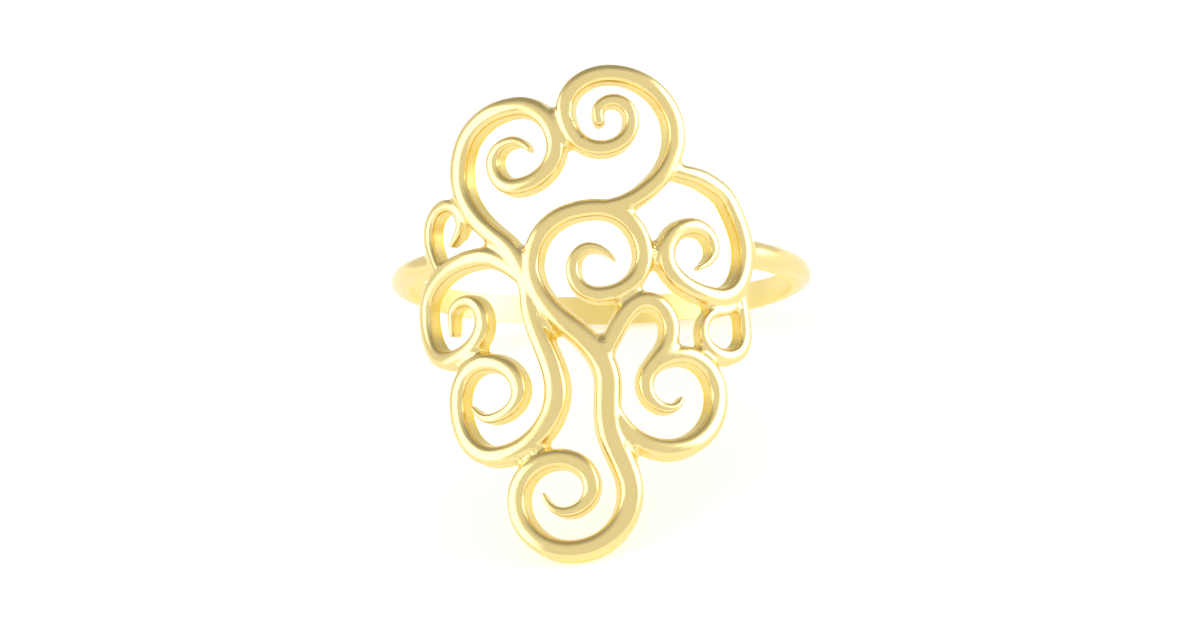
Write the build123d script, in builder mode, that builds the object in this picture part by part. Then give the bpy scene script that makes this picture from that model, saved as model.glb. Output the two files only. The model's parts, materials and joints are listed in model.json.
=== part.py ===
from build123d import *
import os
from math import asin, cos, hypot, pi, radians, sin
from typing import NamedTuple

# An openwork finger ring, cast in one piece: a tall head of tapering scrolls bent to the finger's
# curve, and a plain thin shank that runs round the back. Sizes in millimetres.
# It lies as it would by itself, on the head's lowest scroll and the back of the shank.

# The finger hole, and the plain shank round the back of the finger
BORE_RADIUS = 8.65
SHANK_WIDTH = 1.28
SHANK_THICKNESS = 0.90

# The head, measured round the finger's curve and along the finger
HEAD_WIDTH = 19.0
HEAD_HEIGHT = 22.3

# A scroll's section at full width: side walls that lean in a little under a domed top
LIMB_WIDTH = 1.0
WALL_HEIGHT = 0.60
DOME_HEIGHT = 0.20
TOP_WIDTH = 0.86
# How much lower each branch lies than the scroll that it grows out of
BRANCH_DROP = 0.03
# Below this width a scroll's tip thins from behind too, and this much where it would come to nothing
TIP_WIDTH = 0.55
TIP_RISE = 0.90

# How far the lying ring leans over to its heavier side, in degrees
ROLL = 8.5

# The surface that lengths round the head are measured on
OUTER_RADIUS = BORE_RADIUS + SHANK_THICKNESS
# Metal left inside the finger hole until the hole is cut
BORE_ALLOWANCE = 0.30
# Straight stretches between two turning points of a scroll and round the shank, and flats over a dome
STRETCHES = 6
SHANK_STRETCHES = 40
DOME_FLATS = 4
# How many times the lying ring's lean is halved in on
LEAN_HALVINGS = 40


class Turn(NamedTuple):
    """A turning point of a scroll's centre line, with the scroll's width there.

    across is in percent of HEAD_WIDTH from the middle of the head's front, up in percent of
    HEAD_HEIGHT from the shank's middle, heading in degrees, 0 to the right and 90 up, and
    width in percent of LIMB_WIDTH.
    """

    across: float
    up: float
    heading: float
    width: float


class Band(NamedTuple):
    """A section of the shank, with all values in percent.

    way is how far round the back it stands, from right to left, and width and thickness are
    shares of SHANK_WIDTH and SHANK_THICKNESS.
    """

    way: float
    width: float
    thickness: float


# From the central scroll's tip round it, down the trunk, and on to the lowest scroll's tip
STEM = [
    Turn(3.3, -3.2, 130, 18),
    Turn(-2.6, -0.6, 180, 50),
    Turn(-6.9, -5.0, 270, 68),
    Turn(-0.4, -10.2, 0, 82),
    Turn(10.7, -2.2, 90, 92),
    Turn(-0.9, 7.2, 180, 94),
    Turn(-12.8, 4.2, 218, 94),
    Turn(-17.3, -3.8, 270, 90),
    Turn(-7.6, -16.4, 322, 111),
    Turn(1.2, -28.0, 268, 124),
    Turn(1.7, -38.0, 288, 126),
    Turn(6.3, -49.3, 270, 120),
    Turn(-8.4, -60.9, 180, 102),
    Turn(-22.3, -50.3, 90, 100),
    Turn(-11.4, -42.5, 0, 98),
    Turn(-3.3, -48.3, 270, 88),
    Turn(-9.7, -53.3, 180, 52),
    Turn(-15.0, -49.7, 105, 20),
]
# From the upper left scroll's tip, down the trunk's left side, to the lower left scroll's tip
LEFT_STEM = [
    Turn(-17.2, 19.8, 130, 26),
    Turn(-21.5, 21.7, 180, 52),
    Turn(-27.2, 17.8, 270, 72),
    Turn(-20.9, 12.5, 0, 86),
    Turn(-10.5, 20.2, 90, 94),
    Turn(-20.4, 28.7, 180, 98),
    Turn(-33.4, 25.0, 220, 104),
    Turn(-37.9, 16.5, 270, 106),
    Turn(-26.1, 2.4, 325, 95),
    Turn(-18.2, -10.4, 272, 90),
    Turn(-11.6, -28.7, 270, 120),
    Turn(-27.6, -41.1, 180, 98),
    Turn(-39.8, -29.4, 90, 95),
    Turn(-30.8, -22.1, 0, 90),
    Turn(-21.1, -28.4, 270, 86),
    Turn(-29.3, -33.5, 180, 50),
    Turn(-34.6, -30.8, 130, 16),
]
# From the central scroll's top, over the head's crown, and in to its blunt tip
CROWN = [
    Turn(-3.5, 7.0, 4, 62),
    Turn(6.4, 8.2, 20, 90),
    Turn(13.9, 12.4, 42, 92),
    Turn(19.5, 22.0, 90, 98),
    Turn(2.8, 34.3, 180, 90),
    Turn(-8.1, 27.2, 270, 88),
    Turn(0.7, 19.2, 0, 80),
    Turn(8.4, 24.9, 90, 72),
    Turn(3.8, 28.9, 180, 62),
    Turn(0.0, 26.4, 270, 56),
    Turn(0.3, 24.8, 283, 56),
]
# From the crown's side, round the upper right scroll, to its tip
RIGHT = [
    Turn(16.6, 15.6, 338, 72),
    Turn(27.8, 13.3, 336, 90),
    Turn(34.4, 9.8, 306, 92),
    Turn(39.7, -0.5, 270, 92),
    Turn(30.6, -9.9, 180, 92),
    Turn(16.3, -2.2, 90, 92),
    Turn(23.6, 3.9, 0, 86),
    Turn(29.4, -0.4, 270, 58),
    Turn(24.8, -4.4, 200, 22),
]
# From the trunk over the left scroll's shoulder, and round to its tip
LEFT = [
    Turn(-16.8, -7.4, 143, 90),
    Turn(-31.5, -0.8, 180, 98),
    Turn(-52.4, -9.9, 270, 92),
    Turn(-42.8, -20.5, 0, 90),
    Turn(-31.2, -13.8, 90, 88),
    Turn(-36.8, -9.1, 180, 60),
    Turn(-41.4, -11.8, 270, 42),
    Turn(-41.2, -15.3, 275, 28),
]
# The small hook that rises from the left scroll's shoulder and ends in a horn
HOOK = [
    Turn(-45.6, -2.4, 122, 62),
    Turn(-49.6, 5.4, 90, 70),
    Turn(-42.8, 10.8, 0, 66),
    Turn(-37.4, 6.4, 270, 50),
    Turn(-40.4, 2.6, 225, 26),
]
# The small loop that hangs from the right scroll and leans on the lower right one
LOOP = [
    Turn(37.4, -7.4, 276, 60),
    Turn(38.9, -16.7, 270, 74),
    Turn(32.8, -21.8, 180, 78),
    Turn(25.8, -17.3, 90, 52),
    Turn(31.0, -12.8, 0, 50),
    Turn(35.4, -11.6, 25, 44),
]
# The arch from the trunk's fork, that runs down into the lower right scroll's left side
ARCH = [
    Turn(0.7, -23.5, 95, 75),
    Turn(3.6, -16.9, 62, 90),
    Turn(10.9, -11.4, 0, 90),
    Turn(17.1, -17.0, 270, 90),
    Turn(14.2, -22.5, 224, 88),
    Turn(10.3, -27.4, 266, 56),
]
# From the trunk, round the lower right scroll, to its small hooked tip
HEART = [
    Turn(2.0, -32.5, 290, 78),
    Turn(15.6, -41.0, 0, 102),
    Turn(29.8, -30.1, 90, 98),
    Turn(20.0, -22.1, 180, 95),
    Turn(10.4, -28.2, 270, 82),
    Turn(15.9, -32.9, 0, 52),
    Turn(19.3, -31.0, 75, 26),
]
# Each scroll, with how many branch drops it lies below the trunk. The crown lies just above it.
SCROLLS = [
    (STEM, 0),
    (LEFT_STEM, 1),
    (CROWN, -1),
    (RIGHT, 1),
    (LEFT, 2),
    (HOOK, 0),
    (LOOP, 2),
    (ARCH, 0),
    (HEART, 1),
]


# The shank is narrow at the finger's sides, and thins as it runs in under the head's sides
SHANK = [
    Band(0, 98, 72),
    Band(6, 94, 92),
    Band(18, 84, 100),
    Band(38, 100, 100),
    Band(62, 100, 100),
    Band(82, 79, 100),
    Band(94, 86, 92),
    Band(100, 88, 72),
]
# Where the shank's ends lie inside the head's sides, in percent of HEAD_WIDTH from the middle
SHANK_RIGHT_END = 40.2
SHANK_LEFT_END = -46.9
# The scroll turn that the lying ring stands on
LOWEST_TURN = min(STEM, key=lambda turn: turn.up)


def outward(angle):
    """Direction out from the finger's axis, at an angle round it from the middle of the head."""
    return Vector(sin(angle), -cos(angle), 0)


def around(angle):
    """Direction round the finger, at an angle round it from the middle of the head."""
    return Vector(cos(angle), sin(angle), 0)


def flat_place(turn):
    """Where a turning point lies on the head laid out flat."""
    return Vector(turn.across * HEAD_WIDTH / 100, turn.up * HEAD_HEIGHT / 100)


def handle_share(start, end):
    """How long the handles of a curve between two headings are, so that it bends evenly."""
    bend = abs((radians(end.heading - start.heading) + pi) % (2 * pi) - pi)
    return 1 / (3 * cos(bend / 4) ** 2 * cos(bend / 2))


def centre_line(turns):
    """Places along a scroll on the head laid out flat, with its direction and width there."""
    for start, end in zip(turns, turns[1:]):
        leaving = Vector(cos(radians(start.heading)), sin(radians(start.heading)))
        arriving = Vector(cos(radians(end.heading)), sin(radians(end.heading)))
        first, last = flat_place(start), flat_place(end)
        reach = (last - first) * handle_share(start, end)
        first_handle = first + leaving * abs(reach.dot(leaving))
        last_handle = last - arriving * abs(reach.dot(arriving))
        curve = Bezier(first, first_handle, last_handle, last, mode=Mode.PRIVATE)
        stretches = STRETCHES + 1 if end is turns[-1] else STRETCHES
        for step in range(stretches):
            share = step / STRETCHES
            width = start.width + (end.width - start.width) * share
            yield curve.position_at(share), curve.tangent_at(share), width * LIMB_WIDTH / 100


def scroll_plane(place, travel):
    """The plane across a scroll on the finger hole: X is sideways, and Y is outward."""
    angle = place.X / OUTER_RADIUS
    along = around(angle) * travel.X + Vector(0, 0, travel.Y)
    origin = outward(angle) * BORE_RADIUS + Vector(0, 0, place.Y)
    return Plane(origin=origin, x_dir=outward(angle).cross(along), z_dir=along)


def domed_bar(half_base, half_top, inside, shoulder, crown):
    """Corners of a domed bar's section, from the right of its inside face round the outside.

    inside is how far the section reaches into the finger hole, and shoulder and crown are how
    far its walls and the top of its dome stand out from it.
    """
    rise = crown - shoulder
    dome_radius = (half_top**2 + rise**2) / (2 * rise)
    sweep = asin(half_top / dome_radius)
    corners = [(half_base, -inside)]
    for flat in range(DOME_FLATS + 1):
        angle = sweep * (1 - 2 * flat / DOME_FLATS)
        corners.append((dome_radius * sin(angle), crown - dome_radius * (1 - cos(angle))))
    return corners + [(-half_base, -inside)]


def scroll(turns, drops):
    """A tapering domed bar along a scroll, which lies a few branch drops below the trunk."""
    shoulder = WALL_HEIGHT - BRANCH_DROP * drops
    reach_in = BORE_ALLOWANCE + 2 * BRANCH_DROP * abs(drops)
    with BuildPart() as bar:
        for place, travel, width in centre_line(turns):
            inside = reach_in - TIP_RISE * max(0, 1 - width / TIP_WIDTH)
            top = TOP_WIDTH * width / 2
            base = top + (width / 2 - top) * (WALL_HEIGHT + inside) / WALL_HEIGHT
            section = domed_bar(base, top, inside, shoulder, shoulder + DOME_HEIGHT * width)
            with BuildSketch(scroll_plane(place, travel)):
                with BuildLine():
                    Polyline(*section, close=True)
                make_face()
        loft(ruled=True)
    return bar.part


def shank_section(way):
    """Half the shank's width, and its thickness, at a share of the way round the back."""
    for start, end in zip(SHANK, SHANK[1:]):
        if way <= end.way:
            share = (way - start.way) / (end.way - start.way)
            width = start.width + (end.width - start.width) * share
            thickness = start.thickness + (end.thickness - start.thickness) * share
            return width / 100 * SHANK_WIDTH / 2, thickness / 100 * SHANK_THICKNESS


def shank():
    """The band round the back of the finger: low side walls under a domed outside."""
    right = SHANK_RIGHT_END / 100 * HEAD_WIDTH / OUTER_RADIUS
    left = SHANK_LEFT_END / 100 * HEAD_WIDTH / OUTER_RADIUS + 2 * pi
    inside = BORE_ALLOWANCE + BRANCH_DROP
    with BuildPart() as band:
        for step in range(SHANK_STRETCHES + 1):
            angle = right + (left - right) * step / SHANK_STRETCHES
            half, thick = shank_section(100 * step / SHANK_STRETCHES)
            section = domed_bar(half, half, inside, thick / 2, thick)
            side = outward(angle).cross(around(angle))
            plane = Plane(origin=outward(angle) * BORE_RADIUS, x_dir=side, z_dir=around(angle))
            with BuildSketch(plane):
                with BuildLine():
                    Polyline(*section, close=True)
                make_face()
        loft(ruled=True)
    return band.part


def lying(lean):
    """Down, seen from the ring, and how far below its middle the lowest scroll and the shank reach."""
    roll = radians(ROLL)
    down = Vector(sin(roll), cos(roll) * sin(lean), -cos(roll) * cos(lean))
    place = flat_place(LOWEST_TURN)
    foot = outward(place.X / OUTER_RADIUS) * BORE_RADIUS
    foot += Vector(0, 0, place.Y - LOWEST_TURN.width / 100 * LIMB_WIDTH / 2)
    rise = SHANK_THICKNESS / 2
    dome_radius = ((SHANK_WIDTH / 2) ** 2 + rise**2) / (2 * rise)
    shank_reach = (OUTER_RADIUS - dome_radius) * hypot(down.X, down.Y) + dome_radius
    return down, foot.dot(down), shank_reach


def lying_plane():
    """The ring's own plane, X across the head and Z along the finger, once it lies on the floor."""
    upright, flat = 0.0, pi / 2
    for _ in range(LEAN_HALVINGS):
        lean = (upright + flat) / 2
        down, foot_reach, shank_reach = lying(lean)
        if foot_reach > shank_reach:
            upright = lean
        else:
            flat = lean
    roll = radians(ROLL)
    finger = Vector(cos(lean) * sin(roll), sin(lean), cos(lean) * cos(roll))
    return Plane(origin=(0, 0, foot_reach), x_dir=(cos(roll), 0, -sin(roll)), z_dir=finger)


with BuildPart() as upright_ring:
    for turns, drops in SCROLLS:
        add(scroll(turns, drops))
    add(shank())
    Cylinder(BORE_RADIUS, 3 * HEAD_HEIGHT, mode=Mode.SUBTRACT)

with BuildPart() as lying_ring:
    with Locations(lying_plane().location):
        add(upright_ring.part)

middle = lying_ring.part.bounding_box().center()
with BuildPart() as ring:
    with Locations((-middle.X, -middle.Y, 0)):
        add(lying_ring.part)

ring.part.label = "ring"
os.makedirs("parts", exist_ok=True)
export_step(ring.part, "parts/ring.step")
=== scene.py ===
import json
from math import cos, pi, radians, sin, sqrt
from typing import NamedTuple

import bmesh
import bpy
from mathutils import Matrix, Vector


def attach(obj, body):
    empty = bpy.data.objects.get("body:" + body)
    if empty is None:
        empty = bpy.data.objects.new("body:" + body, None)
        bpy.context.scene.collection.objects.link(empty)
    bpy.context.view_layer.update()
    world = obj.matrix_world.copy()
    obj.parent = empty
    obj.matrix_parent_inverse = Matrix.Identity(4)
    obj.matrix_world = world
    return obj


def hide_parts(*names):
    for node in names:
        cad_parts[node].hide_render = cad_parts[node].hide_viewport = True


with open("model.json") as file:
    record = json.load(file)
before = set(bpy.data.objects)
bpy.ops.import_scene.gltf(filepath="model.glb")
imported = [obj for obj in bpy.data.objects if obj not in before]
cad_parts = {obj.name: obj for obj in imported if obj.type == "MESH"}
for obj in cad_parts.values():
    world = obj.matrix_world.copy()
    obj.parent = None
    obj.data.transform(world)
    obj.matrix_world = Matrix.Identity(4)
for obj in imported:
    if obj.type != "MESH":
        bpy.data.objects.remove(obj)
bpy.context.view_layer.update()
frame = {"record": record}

# The ring's place. It lies on its side, on the head's lowest scroll and the back of the shank, so
# its finger hole leans back and a little to the right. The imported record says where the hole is.
# Lengths are in millimetres, unless a comment says otherwise, and MM turns them into metres.
MM = 0.001
BORE_RADIUS = 8.65

finger_hole = frame["record"]["mounts"][0]
ring_middle = Vector(finger_hole["pos_m"])
up_finger = Vector(finger_hole["axis"]).normalized()
across_head = Vector((up_finger.z, 0, -up_finger.x)).normalized()
to_back = up_finger.cross(across_head)


def outward(angle):
    """Direction out from the finger's axis, at an angle round it from the middle of the head."""
    return across_head * sin(angle) - to_back * cos(angle)


def around(angle):
    """Direction round the finger, at an angle round it from the middle of the head."""
    return across_head * cos(angle) + to_back * sin(angle)


# The head's scrolls. They are tapering bars of gold with a domed top, bent to the finger's curve,
# that branch off one another and curl into spirals. They are cast as one with the shank.
SHANK_THICKNESS = 0.90
OUTER_RADIUS = BORE_RADIUS + SHANK_THICKNESS
HEAD_WIDTH = 19.0  # round the finger, in the unit that the turns count in
HEAD_HEIGHT = 22.3
LIMB_WIDTH = 1.0
WALL_HEIGHT = 0.60
DOME_HEIGHT = 0.20  # share of the limb's width
TOP_WIDTH = 0.86  # share of the width at the finger
BRANCH_DROP = 0.03  # how much lower a branch lies than the limb that carries it
BORE_ALLOWANCE = 0.30  # metal that the finger hole cuts away
TIP_WIDTH = 0.55  # a limb narrower than this thins on the finger's side too
TIP_RISE = 0.90
TIP_RINGS = 5
TIP_LEAST_SHARE = 0.12  # size of a rounded tip's outermost section
TIP_FALL = 0.25  # how far a rounded tip's top falls, as a share of its width
SCROLL_STEP = 0.07
LEAST_STEPS = 4
BEND_ALLOWANCE = 1.1  # a bend's length over its chord
DOME_FACES = 16
WALL_FACES = 3
ROUNDNESS = 2.4  # 2 is an ellipse, and more is squarer


class Turn(NamedTuple):
    """A turning point of a scroll, in percent of the head's sizes, degrees and percent of width."""

    across: float
    up: float
    heading: float
    width: float


STEM = [
    Turn(3.3, -3.2, 130, 18),
    Turn(-2.6, -0.6, 180, 50),
    Turn(-6.9, -5.0, 270, 68),
    Turn(-0.4, -10.2, 0, 82),
    Turn(10.7, -2.2, 90, 92),
    Turn(-0.9, 7.2, 180, 94),
    Turn(-12.8, 4.2, 218, 94),
    Turn(-17.3, -3.8, 270, 90),
    Turn(-7.6, -16.4, 322, 111),
    Turn(1.2, -28.0, 268, 124),
    Turn(1.7, -38.0, 288, 126),
    Turn(6.3, -49.3, 270, 120),
    Turn(-8.4, -60.9, 180, 102),
    Turn(-22.3, -50.3, 90, 100),
    Turn(-11.4, -42.5, 0, 98),
    Turn(-3.3, -48.3, 270, 88),
    Turn(-9.7, -53.3, 180, 52),
    Turn(-15.0, -49.7, 105, 20),
]
LEFT_STEM = [
    Turn(-17.2, 19.8, 130, 26),
    Turn(-21.5, 21.7, 180, 52),
    Turn(-27.2, 17.8, 270, 72),
    Turn(-20.9, 12.5, 0, 86),
    Turn(-10.5, 20.2, 90, 94),
    Turn(-20.4, 28.7, 180, 98),
    Turn(-33.4, 25.0, 220, 104),
    Turn(-37.9, 16.5, 270, 106),
    Turn(-26.1, 2.4, 325, 95),
    Turn(-18.2, -10.4, 272, 90),
    Turn(-11.6, -28.7, 270, 120),
    Turn(-27.6, -41.1, 180, 98),
    Turn(-39.8, -29.4, 90, 95),
    Turn(-30.8, -22.1, 0, 90),
    Turn(-21.1, -28.4, 270, 86),
    Turn(-29.3, -33.5, 180, 50),
    Turn(-34.6, -30.8, 130, 16),
]
CROWN = [
    Turn(-3.5, 7.0, 4, 62),
    Turn(6.4, 8.2, 20, 90),
    Turn(13.9, 12.4, 42, 92),
    Turn(19.5, 22.0, 90, 98),
    Turn(2.8, 34.3, 180, 90),
    Turn(-8.1, 27.2, 270, 88),
    Turn(0.7, 19.2, 0, 80),
    Turn(8.4, 24.9, 90, 72),
    Turn(3.8, 28.9, 180, 62),
    Turn(0.0, 26.4, 270, 56),
    Turn(0.3, 24.8, 283, 56),
]
RIGHT = [
    Turn(16.6, 15.6, 338, 72),
    Turn(27.8, 13.3, 336, 90),
    Turn(34.4, 9.8, 306, 92),
    Turn(39.7, -0.5, 270, 92),
    Turn(30.6, -9.9, 180, 92),
    Turn(16.3, -2.2, 90, 92),
    Turn(23.6, 3.9, 0, 86),
    Turn(29.4, -0.4, 270, 58),
    Turn(24.8, -4.4, 200, 22),
]
LEFT = [
    Turn(-16.8, -7.4, 143, 90),
    Turn(-31.5, -0.8, 180, 98),
    Turn(-52.4, -9.9, 270, 92),
    Turn(-42.8, -20.5, 0, 90),
    Turn(-31.2, -13.8, 90, 88),
    Turn(-36.8, -9.1, 180, 60),
    Turn(-41.4, -11.8, 270, 42),
    Turn(-41.2, -15.3, 275, 28),
]
HOOK = [
    Turn(-45.6, -2.4, 122, 62),
    Turn(-49.6, 5.4, 90, 70),
    Turn(-42.8, 10.8, 0, 66),
    Turn(-37.4, 6.4, 270, 50),
    Turn(-40.4, 2.6, 225, 26),
]
LOOP = [
    Turn(37.4, -7.4, 276, 60),
    Turn(38.9, -16.7, 270, 74),
    Turn(32.8, -21.8, 180, 78),
    Turn(25.8, -17.3, 90, 52),
    Turn(31.0, -12.8, 0, 50),
    Turn(35.4, -11.6, 25, 44),
]
ARCH = [
    Turn(0.7, -23.5, 95, 75),
    Turn(3.6, -16.9, 62, 90),
    Turn(10.9, -11.4, 0, 90),
    Turn(17.1, -17.0, 270, 90),
    Turn(14.2, -22.5, 224, 88),
    Turn(10.3, -27.4, 266, 56),
]
HEART = [
    Turn(2.0, -32.5, 290, 78),
    Turn(15.6, -41.0, 0, 102),
    Turn(29.8, -30.1, 90, 98),
    Turn(20.0, -22.1, 180, 95),
    Turn(10.4, -28.2, 270, 82),
    Turn(15.9, -32.9, 0, 52),
    Turn(19.3, -31.0, 75, 26),
]

# Each bar's turns, and how many branch drops its top lies below the stem's.
SCROLLS = {
    "stem": (STEM, 0),
    "left_stem": (LEFT_STEM, 1),
    "crown": (CROWN, -1),
    "right": (RIGHT, 1),
    "left": (LEFT, 2),
    "hook": (HOOK, 0),
    "loop": (LOOP, 2),
    "arch": (ARCH, 0),
    "heart": (HEART, 1),
}


def between(start, end, share):
    """The number that lies a share of the way from start to end."""
    return start + (end - start) * share


def heading_vector(degrees):
    """A direction on the head laid out flat."""
    return Vector((cos(radians(degrees)), sin(radians(degrees))))


def handle_share(start, end):
    """How long the handles of a curve between two headings are, so that it bends evenly."""
    bend = abs((radians(end.heading - start.heading) + pi) % (2 * pi) - pi)
    return 1 / (3 * cos(bend / 4) ** 2 * cos(bend / 2))


def centre_line(turns):
    """Places along a scroll on the head laid out flat, each with its direction and width."""
    for start, end in zip(turns, turns[1:]):
        first = Vector((start.across * HEAD_WIDTH, start.up * HEAD_HEIGHT)) / 100
        last = Vector((end.across * HEAD_WIDTH, end.up * HEAD_HEIGHT)) / 100
        leaving, arriving = heading_vector(start.heading), heading_vector(end.heading)
        reach = last - first
        share = handle_share(start, end)
        handle = first + leaving * abs(reach.dot(leaving)) * share
        other = last - arriving * abs(reach.dot(arriving)) * share
        steps = max(LEAST_STEPS, round(reach.length * BEND_ALLOWANCE / SCROLL_STEP))
        for step in range(steps + 1 if end is turns[-1] else steps):
            t = step / steps
            s = 1 - t
            place = first * s**3 + handle * 3 * s * s * t + other * 3 * s * t * t + last * t**3
            travel = (
                (handle - first) * s * s + (other - handle) * 2 * s * t + (last - other) * t * t
            )
            width = between(start.width, end.width, t) * LIMB_WIDTH / 100
            yield place, travel.normalized(), width


def domed_outline(half_base, half_top, inside, shoulder, crown):
    """A section's outline, as places sideways and outward, from the inside's right end.

    The walls roll over into the flat top of the dome as a superellipse does.
    """
    roll = 2 * (crown - shoulder)
    height = crown - roll
    lean = (half_top - half_base) / (shoulder + inside)
    half = half_base + lean * (height + inside)
    wall = []
    for face in range(WALL_FACES):
        sideways = half_base + (half - half_base) * face / WALL_FACES
        wall.append((sideways, (height + inside) * face / WALL_FACES - inside))
    dome = []
    for face in range(DOME_FACES + 1):
        angle = pi * face / DOME_FACES
        hand = 1 if face * 2 < DOME_FACES else -1
        sideways = half * (abs(cos(angle)) ** (2 / ROUNDNESS) * hand)
        dome.append((sideways, height + roll * sin(angle) ** (2 / ROUNDNESS)))
    return wall + dome + [(-x, y) for x, y in wall[::-1]]


def tip_stations(end, way):
    """The sections that round off a scroll's end, from the outermost one inward."""
    place, travel, width = end
    stations = []
    for number in range(TIP_RINGS, 0, -1):
        beyond = sin(number / TIP_RINGS * pi / 2)
        share = max(TIP_LEAST_SHARE, sqrt(max(0.0, 1 - beyond**2)))
        stations.append((place + travel * way * beyond * width / 2, travel, width, share))
    return stations


def scroll_rings(turns, drops):
    """The sections of a scroll's bar, rounded off at both tips."""
    shoulder = WALL_HEIGHT - BRANCH_DROP * drops
    reach_in = BORE_ALLOWANCE + 2 * BRANCH_DROP * abs(drops)
    line = list(centre_line(turns))
    stations = tip_stations(line[0], -1)
    stations += [(place, travel, width, 1.0) for place, travel, width in line]
    stations += tip_stations(line[-1], 1)[::-1]
    for place, travel, width, share in stations:
        angle = place.x / OUTER_RADIUS
        along = around(angle) * travel.x + up_finger * travel.y
        side = outward(angle).cross(along)
        foot = ring_middle + (outward(angle) * BORE_RADIUS + up_finger * place.y) * MM
        inside = reach_in - TIP_RISE * max(0, 1 - width / TIP_WIDTH)
        half_top = TOP_WIDTH * width / 2 * share
        spread = (1 - TOP_WIDTH) * width / 2 * share
        half_base = half_top + spread * (WALL_HEIGHT + inside) / WALL_HEIGHT
        top = shoulder - (1 - share) * width * TIP_FALL
        crown = top + DOME_HEIGHT * width * share
        outline = domed_outline(half_base, half_top, inside, top, crown)
        yield [foot + (side * x + outward(angle) * y) * MM for x, y in outline]


def object_from(mesh, name):
    """Turns a finished bmesh into an object."""
    data = bpy.data.meshes.new(name)
    mesh.to_mesh(data)
    mesh.free()
    made = bpy.data.objects.new(name, data)
    bpy.context.collection.objects.link(made)
    return made


def bar_object(name, rings):
    """A closed mesh through sections that all have the same number of corners."""
    mesh = bmesh.new()
    rows = [[mesh.verts.new(corner) for corner in ring] for ring in rings]
    for near, far in zip(rows, rows[1:]):
        for corner in range(len(near)):
            after = (corner + 1) % len(near)
            mesh.faces.new((near[corner], near[after], far[after], far[corner]))
    for row, turned in ((rows[0], True), (rows[-1], False)):
        middle = mesh.verts.new(sum((v.co for v in row), Vector()) / len(row))
        for corner in range(len(row)):
            ends = (row[corner], row[(corner + 1) % len(row)])
            mesh.faces.new((*(ends[::-1] if turned else ends), middle))
    bmesh.ops.recalc_face_normals(mesh, faces=mesh.faces)
    return object_from(mesh, name)


bars = [bar_object(name, scroll_rings(turns, drops)) for name, (turns, drops) in SCROLLS.items()]

# The shank. It is a thin gold band with a domed outside, open at the head, whose ends thin a
# little as they run in under the head's two sides.
SHANK_WIDTH = 1.28
SHANK_RIGHT_END = 40.2  # percent of the head's width, as the scrolls' turns are
SHANK_LEFT_END = -46.9
SHANK_SECTIONS = 300


class Band(NamedTuple):
    """A section of the shank, all in percent: way round the back, width and thickness."""

    way: float
    width: float
    thickness: float


SHANK = [
    Band(0, 98, 72),
    Band(6, 94, 92),
    Band(18, 84, 100),
    Band(38, 100, 100),
    Band(62, 100, 100),
    Band(82, 79, 100),
    Band(94, 86, 92),
    Band(100, 88, 72),
]


def shank_rings():
    """The sections of the band, from inside the head's right side to inside its left side."""
    right = SHANK_RIGHT_END / 100 * HEAD_WIDTH / OUTER_RADIUS
    left = SHANK_LEFT_END / 100 * HEAD_WIDTH / OUTER_RADIUS + 2 * pi
    inside = BORE_ALLOWANCE + BRANCH_DROP
    for number in range(SHANK_SECTIONS + 1):
        way = 100 * number / SHANK_SECTIONS
        start, end = next((a, b) for a, b in zip(SHANK, SHANK[1:]) if way <= b.way)
        share = (way - start.way) / (end.way - start.way)
        share = share * share * (3 - 2 * share)
        half = between(start.width, end.width, share) / 100 * SHANK_WIDTH / 2
        thick = between(start.thickness, end.thickness, share) / 100 * SHANK_THICKNESS
        angle = right + (left - right) * way / 100
        side = outward(angle).cross(around(angle))
        foot = ring_middle + outward(angle) * BORE_RADIUS * MM
        outline = domed_outline(half, half, inside, thick / 2, thick)
        yield [foot + (side * x + outward(angle) * y) * MM for x, y in outline]


bars.append(bar_object("shank", shank_rings()))

# The casting. All the bars are one piece of metal, with soft inside corners where they meet. The
# finger hole is cut through it in one pass, so every scroll's back lies on the same round wall.
CORNER_RADIUS = 0.12
GRAIN = 0.06
SMOOTHING = 0.5
SMOOTHINGS = 8
HOLE_SIDES = 720
HOLE_REACH = 1.5  # times the head's height
CASTING_TRIANGLES = 185000
WELD = 0.002
CREASE_ANGLE = 38  # degrees


def applied(target, kind, **settings):
    """Gives a mesh one modifier and keeps its result."""
    step = target.modifiers.new(kind.lower(), kind)
    for name, value in settings.items():
        setattr(step, name, value)
    view = bpy.context.evaluated_depsgraph_get()
    data = bpy.data.meshes.new_from_object(target.evaluated_get(view))
    target.modifiers.clear()
    target.data = data


def hole_object():
    """The round plug that cuts the finger hole."""
    mesh = bmesh.new()
    radius = BORE_RADIUS * MM
    depth = HEAD_HEIGHT * HOLE_REACH * MM
    bmesh.ops.create_cone(
        mesh, cap_ends=True, segments=HOLE_SIDES, radius1=radius, radius2=radius, depth=depth
    )
    turn = Matrix((across_head, to_back, up_finger)).transposed().to_4x4()
    bmesh.ops.transform(mesh, matrix=Matrix.Translation(ring_middle) @ turn, verts=mesh.verts)
    return object_from(mesh, "hole")


mesh = bmesh.new()
for bar in bars:
    mesh.from_mesh(bar.data)
    bpy.data.objects.remove(bar)
bmesh.ops.scale(mesh, vec=(1 / MM, 1 / MM, 1 / MM), verts=mesh.verts)
casting = object_from(mesh, "gold_ring")
applied(casting, "DISPLACE", strength=CORNER_RADIUS, mid_level=0)
applied(casting, "REMESH", mode="VOXEL", voxel_size=GRAIN)
applied(casting, "DISPLACE", strength=-CORNER_RADIUS, mid_level=0)
applied(casting, "SMOOTH", factor=SMOOTHING, iterations=SMOOTHINGS)
casting.data.transform(Matrix.Scale(MM, 4))
hole = hole_object()
applied(casting, "BOOLEAN", operation="DIFFERENCE", solver="MANIFOLD", object=hole)
bpy.data.objects.remove(hole)
triangles = sum(len(face.vertices) - 2 for face in casting.data.polygons)
applied(casting, "DECIMATE", ratio=min(1, CASTING_TRIANGLES / triangles))

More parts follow.
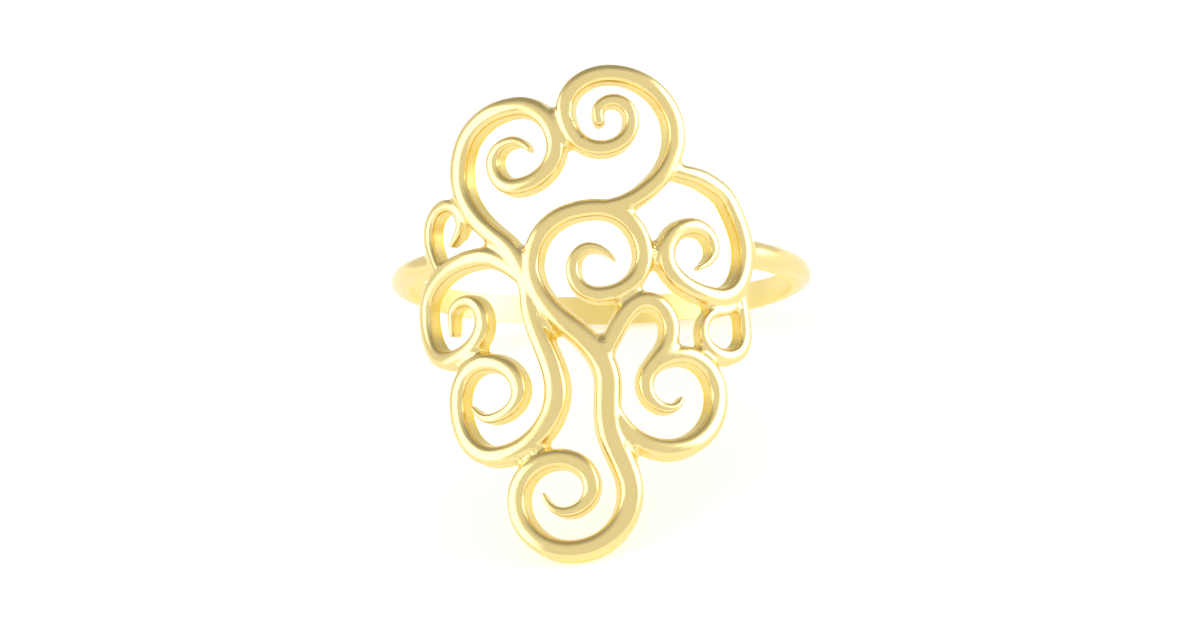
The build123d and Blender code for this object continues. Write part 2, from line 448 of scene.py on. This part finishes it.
mesh = bmesh.new()
mesh.from_mesh(casting.data)
bmesh.ops.remove_doubles(mesh, verts=mesh.verts, dist=WELD * MM)
for face in mesh.faces:
    face.smooth = True
for edge in mesh.edges:
    edge.smooth = edge.is_manifold and edge.calc_face_angle() < radians(CREASE_ANGLE)
mesh.to_mesh(casting.data)
mesh.free()

# The gold. It is polished pale yellow gold, with the slight waviness and the fine wiping marks of
# hand polishing. Its side walls, which no polishing wheel reaches, stay satin. Low on the walls the
# gold is painted a little deeper, a painted reflection in place of the warm light the walls catch,
# and along their edges by the finger hole runs a deep yellow painted glint, where the edge catches
# light from behind. The seams where scrolls touch keep the casting's crinkled skin.
GOLD_COLOUR = (0.96, 0.77, 0.35, 1.0)
GOLD_WARM = (0.94, 0.74, 0.30, 1.0)
# Painted reflection: the lower side walls get this slightly deeper gold in place of the warm light
# they catch from the metal around them.
WALL_PAINTED_REFLECTION = (0.96, 0.785, 0.33, 1.0)
# Painted glint: a deep yellow for the walls' edges by the finger hole, where the edge catches light
# from behind.
RIM_PAINTED_GLINT = (0.98, 0.78, 0.13, 1.0)
RIM_GLINT_REACH = (0.06, 0.17)  # out from the bore
RIM_GLINT_FACING = (0.2, 0.6)  # how squarely walls, and then the bore, face the finger
TINT_CLOUDS = 420  # clouds are in waves a metre
POLISH_CLOUDS = 1500
POLISH_CONTRAST = (0.35, 0.65)
POLISHED_ROUGHNESS = (0.15, 0.24)
WALL_ROUGHNESS = 0.42
SHANK_INSIDE_ROUGHNESS = 0.34
SHANK_START = (-2, 0)  # back from the ring's middle
# Where the satin fades is also where the painted reflection on the walls fades out.
SATIN_SHARE = 0.65  # share of a wall's height where the satin begins to fade
POLISHED_SHARE = 0.95
SATIN_RADIUS = BORE_RADIUS + WALL_HEIGHT * SATIN_SHARE
POLISHED_RADIUS = BORE_RADIUS + WALL_HEIGHT * POLISHED_SHARE
SEAM_RADIUS = BORE_RADIUS + WALL_HEIGHT
SEAM_REACH = (0.08, 0.27)


class Relief(NamedTuple):
    """Raised detail: waves a metre, layers, how rough they are, depth and strength."""

    waves: float
    layers: float
    roughness: float
    depth: float
    strength: float


WAVINESS = Relief(900, 2, 0.5, 0.03, 0.35)
WIPING_MARKS = Relief(9000, 3, 0.5, 0.004, 0.15)
CRINKLES = Relief(6500, 3, 0.6, 0.08, 1.0)


class Seam(NamedTuple):
    """A place where two scrolls touch, in percent of the head's sizes."""

    across: float
    up: float


SEAMS = [
    Seam(-6.7, 27.5),
    Seam(-5.5, 24.7),
    Seam(-3.7, 20.6),
    Seam(13.1, -1.9),
    Seam(-0.4, -11.5),
    Seam(4.0, -11.0),
    Seam(-39.1, -22.6),
    Seam(-21.6, -42.7),
    Seam(-16.9, -40.6),
    Seam(-14.9, -13.7),
    Seam(0.1, -20.1),
    Seam(5.4, -40.5),
    Seam(-18.7, 0.5),
    Seam(9.8, 6.1),
]

gold = bpy.data.materials.new("polished_gold")
gold.use_nodes = True
nodes, links = gold.node_tree.nodes, gold.node_tree.links
nodes.clear()
output = nodes.new("ShaderNodeOutputMaterial")
surface = nodes.new("ShaderNodeBsdfPrincipled")
surface.inputs["Metallic"].default_value = 1.0
links.new(surface.outputs["BSDF"], output.inputs["Surface"])
place = nodes.new("ShaderNodeTexCoord").outputs["Object"]
normal = nodes.new("ShaderNodeNewGeometry").outputs["Normal"]


def clouds(waves, layers, roughness=0.5):
    """A cloudy pattern that is fixed to the metal."""
    pattern = nodes.new("ShaderNodeTexNoise")
    pattern.inputs["Scale"].default_value = waves
    pattern.inputs["Detail"].default_value = layers
    pattern.inputs["Roughness"].default_value = roughness
    links.new(place, pattern.inputs["Vector"])
    return pattern.outputs["Fac"]


def ramp(value, start, end, low, high):
    """Turns a value from start to end into one from low to high, and holds it there outside."""
    change = nodes.new("ShaderNodeMapRange")
    for name, number in (("From Min", start), ("From Max", end), ("To Min", low), ("To Max", high)):
        change.inputs[name].default_value = number
    links.new(value, change.inputs["Value"])
    return change.outputs["Result"]


def joined(operation, first, second):
    """Two values put together by one operation."""
    result = nodes.new("ShaderNodeMath")
    result.operation = operation
    links.new(first, result.inputs[0])
    links.new(second, result.inputs[1])
    return result.outputs["Value"]


def vector_math(operation, first, second=None):
    """The result of one operation on a vector, or on two of which the second may be fixed."""
    result = nodes.new("ShaderNodeVectorMath")
    result.operation = operation
    links.new(first, result.inputs[0])
    if isinstance(second, bpy.types.NodeSocket):
        links.new(second, result.inputs[1])
    elif second:
        result.inputs[1].default_value = second
    is_number = operation in ("LENGTH", "DISTANCE", "DOT_PRODUCT")
    return result.outputs["Value" if is_number else "Vector"]


def mixed(first, second, share):
    """A colour that turns from the first into the second, a fixed one, by a share."""
    mix = nodes.new("ShaderNodeMix")
    mix.data_type = "RGBA"
    if isinstance(first, bpy.types.NodeSocket):
        links.new(first, mix.inputs["A"])
    else:
        mix.inputs["A"].default_value = first
    mix.inputs["B"].default_value = second
    links.new(share, mix.inputs["Factor"])
    return mix.outputs["Result"]


def raised(relief, under=None, where=None):
    """A relief in the metal over the one under it, and only where a mask is 1."""
    height = clouds(relief.waves, relief.layers, relief.roughness)
    if where:
        height = joined("MULTIPLY", height, where)
    bump = nodes.new("ShaderNodeBump")
    bump.inputs["Strength"].default_value = relief.strength
    bump.inputs["Distance"].default_value = relief.depth * MM
    links.new(height, bump.inputs["Height"])
    if under:
        links.new(under, bump.inputs["Normal"])
    return bump.outputs["Normal"]


def seam_mask():
    """1 at the seams between scrolls, and 0 away from them."""
    mask = None
    for seam in SEAMS:
        angle = seam.across * HEAD_WIDTH / 100 / OUTER_RADIUS
        centre = outward(angle) * SEAM_RADIUS + up_finger * seam.up * HEAD_HEIGHT / 100
        gap = vector_math("DISTANCE", place, ring_middle + centre * MM)
        near = ramp(gap, SEAM_REACH[0] * MM, SEAM_REACH[1] * MM, 1, 0)
        mask = joined("MAXIMUM", mask, near) if mask else near
    return mask


from_middle = vector_math("SUBTRACT", place, ring_middle)
round_finger = vector_math("CROSS_PRODUCT", from_middle, up_finger)
from_axis = vector_math("LENGTH", round_finger)
wall = ramp(from_axis, SATIN_RADIUS * MM, POLISHED_RADIUS * MM, 1, 0)

polish = ramp(clouds(POLISH_CLOUDS, 4), *POLISH_CONTRAST, *POLISHED_ROUGHNESS)
backward = vector_math("DOT_PRODUCT", from_middle, to_back)
unpolished = ramp(
    backward, SHANK_START[0] * MM, SHANK_START[1] * MM, WALL_ROUGHNESS, SHANK_INSIDE_ROUGHNESS
)
roughness = joined("MAXIMUM", polish, joined("MULTIPLY", wall, unpolished))
links.new(roughness, surface.inputs["Roughness"])

to_axis = vector_math("CROSS_PRODUCT", round_finger, up_finger)
facing = vector_math("DOT_PRODUCT", to_axis, normal)
# Where the painted glint goes: near the bore, on surfaces that don't face the finger squarely.
beside_finger = ramp(
    facing, BORE_RADIUS * RIM_GLINT_FACING[0] * MM, BORE_RADIUS * RIM_GLINT_FACING[1] * MM, 1, 0
)
by_finger = ramp(
    from_axis, (BORE_RADIUS + RIM_GLINT_REACH[0]) * MM, (BORE_RADIUS + RIM_GLINT_REACH[1]) * MM, 1, 0
)
painted_rim_glint = joined("MULTIPLY", by_finger, beside_finger)
tint = mixed(GOLD_COLOUR, GOLD_WARM, clouds(TINT_CLOUDS, 2))
# Base colour: the random tint, with the painted reflection low on the walls and the painted glint
# along their edges by the finger hole.
links.new(mixed(mixed(tint, WALL_PAINTED_REFLECTION, wall), RIM_PAINTED_GLINT, painted_rim_glint), surface.inputs["Base Color"])

polished_skin = raised(WIPING_MARKS, under=raised(WAVINESS))
skin = raised(CRINKLES, under=polished_skin, where=seam_mask())
links.new(skin, surface.inputs["Normal"])

casting.data.materials.clear()
casting.data.materials.append(gold)
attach(casting, "root")
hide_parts("ring")

# The studio. The ring lies on a wide white light table, under an even soft light that is dimmer
# high up behind it. A broad faint light stands round the camera, and a wide cool one on either
# side draws the stripes along the scrolls.
FLOOR_HALF = 0.6  # metres
FLOOR_GLOW = 0.33
WHITE = (1, 1, 1, 1)
PAPER_WHITE = (0.93, 0.93, 0.92, 1)
PAPER_ROUGHNESS = 0.9
PAPER_GLOSS = 0.1
SKY = 0.78
DIM_SKY = 0.36
DIM_WAY = (0.0, 0.45, 0.893)  # towards the middle of the dim part
DIM_REACH = (0.50, 0.95)  # cosines from that way, where the dimming starts and ends
DAYLIGHT = (0.86, 0.95, 1.0)
LIGHT_SIDEWAYS = 0.94
LIGHT_FORWARD = 0.34
RIGHT_LIGHT_RISE = 0.30

floor_data = bpy.data.meshes.new("floor")
corners = [(x * FLOOR_HALF, y * FLOOR_HALF, 0) for x, y in ((-1, -1), (1, -1), (1, 1), (-1, 1))]
floor_data.from_pydata(corners, [], [(0, 1, 2, 3)])
floor = bpy.data.objects.new("floor", floor_data)
bpy.context.collection.objects.link(floor)
paper = bpy.data.materials.new("white_paper")
paper.use_nodes = True
sheet = paper.node_tree.nodes["Principled BSDF"]
sheet.inputs["Base Color"].default_value = PAPER_WHITE
sheet.inputs["Roughness"].default_value = PAPER_ROUGHNESS
sheet.inputs["Specular IOR Level"].default_value = PAPER_GLOSS
sheet.inputs["Emission Color"].default_value = WHITE
sheet.inputs["Emission Strength"].default_value = FLOOR_GLOW
floor_data.materials.append(paper)

sky = bpy.data.worlds.new("soft_white")
sky.use_nodes = True
sky_nodes, sky_links = sky.node_tree.nodes, sky.node_tree.links
background = sky_nodes["Background"]
background.inputs["Color"].default_value = WHITE
sky_way = sky_nodes.new("ShaderNodeTexCoord").outputs["Generated"]
dim_side = sky_nodes.new("ShaderNodeVectorMath")
dim_side.operation = "DOT_PRODUCT"
dim_side.inputs[1].default_value = DIM_WAY
sky_links.new(sky_way, dim_side.inputs[0])
dimming = sky_nodes.new("ShaderNodeMapRange")
dimming.interpolation_type = "SMOOTHSTEP"
dimming.inputs["From Min"].default_value = DIM_REACH[0]
dimming.inputs["From Max"].default_value = DIM_REACH[1]
dimming.inputs["To Min"].default_value = SKY
dimming.inputs["To Max"].default_value = DIM_SKY
sky_links.new(dim_side.outputs["Value"], dimming.inputs["Value"])
sky_links.new(dimming.outputs["Result"], background.inputs["Strength"])
bpy.context.scene.world = sky


def soft_light(name, direction, distance, width, height, brightness):
    """A soft light that faces the ring, in metres and in the brightness that a mirror shows."""
    data = bpy.data.lights.new(name, "AREA")
    data.shape = "RECTANGLE"
    data.size = width
    data.size_y = height
    data.energy = brightness * pi * width * height
    data.color = DAYLIGHT
    light = bpy.data.objects.new(name, data)
    direction = direction.normalized()
    light.location = ring_middle + direction * distance
    light.rotation_euler = direction.to_track_quat("Z", "Y").to_euler()
    bpy.context.collection.objects.link(light)


left_side = -across_head * LIGHT_SIDEWAYS - to_back * LIGHT_FORWARD
right_side = across_head * LIGHT_SIDEWAYS - to_back * LIGHT_FORWARD + up_finger * RIGHT_LIGHT_RISE
soft_light("front_light", -to_back, distance=0.60, width=0.70, height=0.60, brightness=0.05)
soft_light("left_light", left_side, distance=0.30, width=0.26, height=0.26, brightness=1.6)
soft_light("right_light", right_side, distance=0.30, width=0.24, height=0.24, brightness=2.6)

# The camera. It looks at the front of the head from a little below, turned by about a degree, and
# from far enough off that the ring keeps its proportions. Its lens shows the ring as large as the
# photograph does.
CAMERA_DISTANCE = 300
CAMERA_RISE = -9.5  # degrees
CAMERA_TWIST = 1.2  # degrees
PHOTO_WIDTH = 1200  # pixels
PIXELS_PER_MM = 22.0
RING_RIGHT_OF_MIDDLE = 1.0  # pixels
RING_ABOVE_MIDDLE = 35.0  # pixels
SENSOR = 36
NEAREST_SEEN = 0.01  # metres

rise, twist = radians(CAMERA_RISE), radians(CAMERA_TWIST)
towards = up_finger * sin(rise) - to_back * cos(rise)
level_right, level_up = across_head, towards.cross(across_head)
right = level_right * cos(twist) - level_up * sin(twist)
up = level_up * cos(twist) + level_right * sin(twist)
off_middle = (right * RING_RIGHT_OF_MIDDLE + up * RING_ABOVE_MIDDLE) / PIXELS_PER_MM
stand = ring_middle + (towards * CAMERA_DISTANCE - off_middle) * MM
camera_data = bpy.data.cameras.new("camera")
camera_data.sensor_width = SENSOR
camera_data.lens = SENSOR * CAMERA_DISTANCE * PIXELS_PER_MM / PHOTO_WIDTH
camera_data.clip_start = NEAREST_SEEN
camera = bpy.data.objects.new("camera", camera_data)
turn = Matrix((right, up, towards)).transposed().to_4x4()
camera.matrix_world = Matrix.Translation(stand) @ turn
bpy.context.collection.objects.link(camera)
bpy.context.scene.camera = camera
bpy.context.scene.view_settings.view_transform = "Standard"
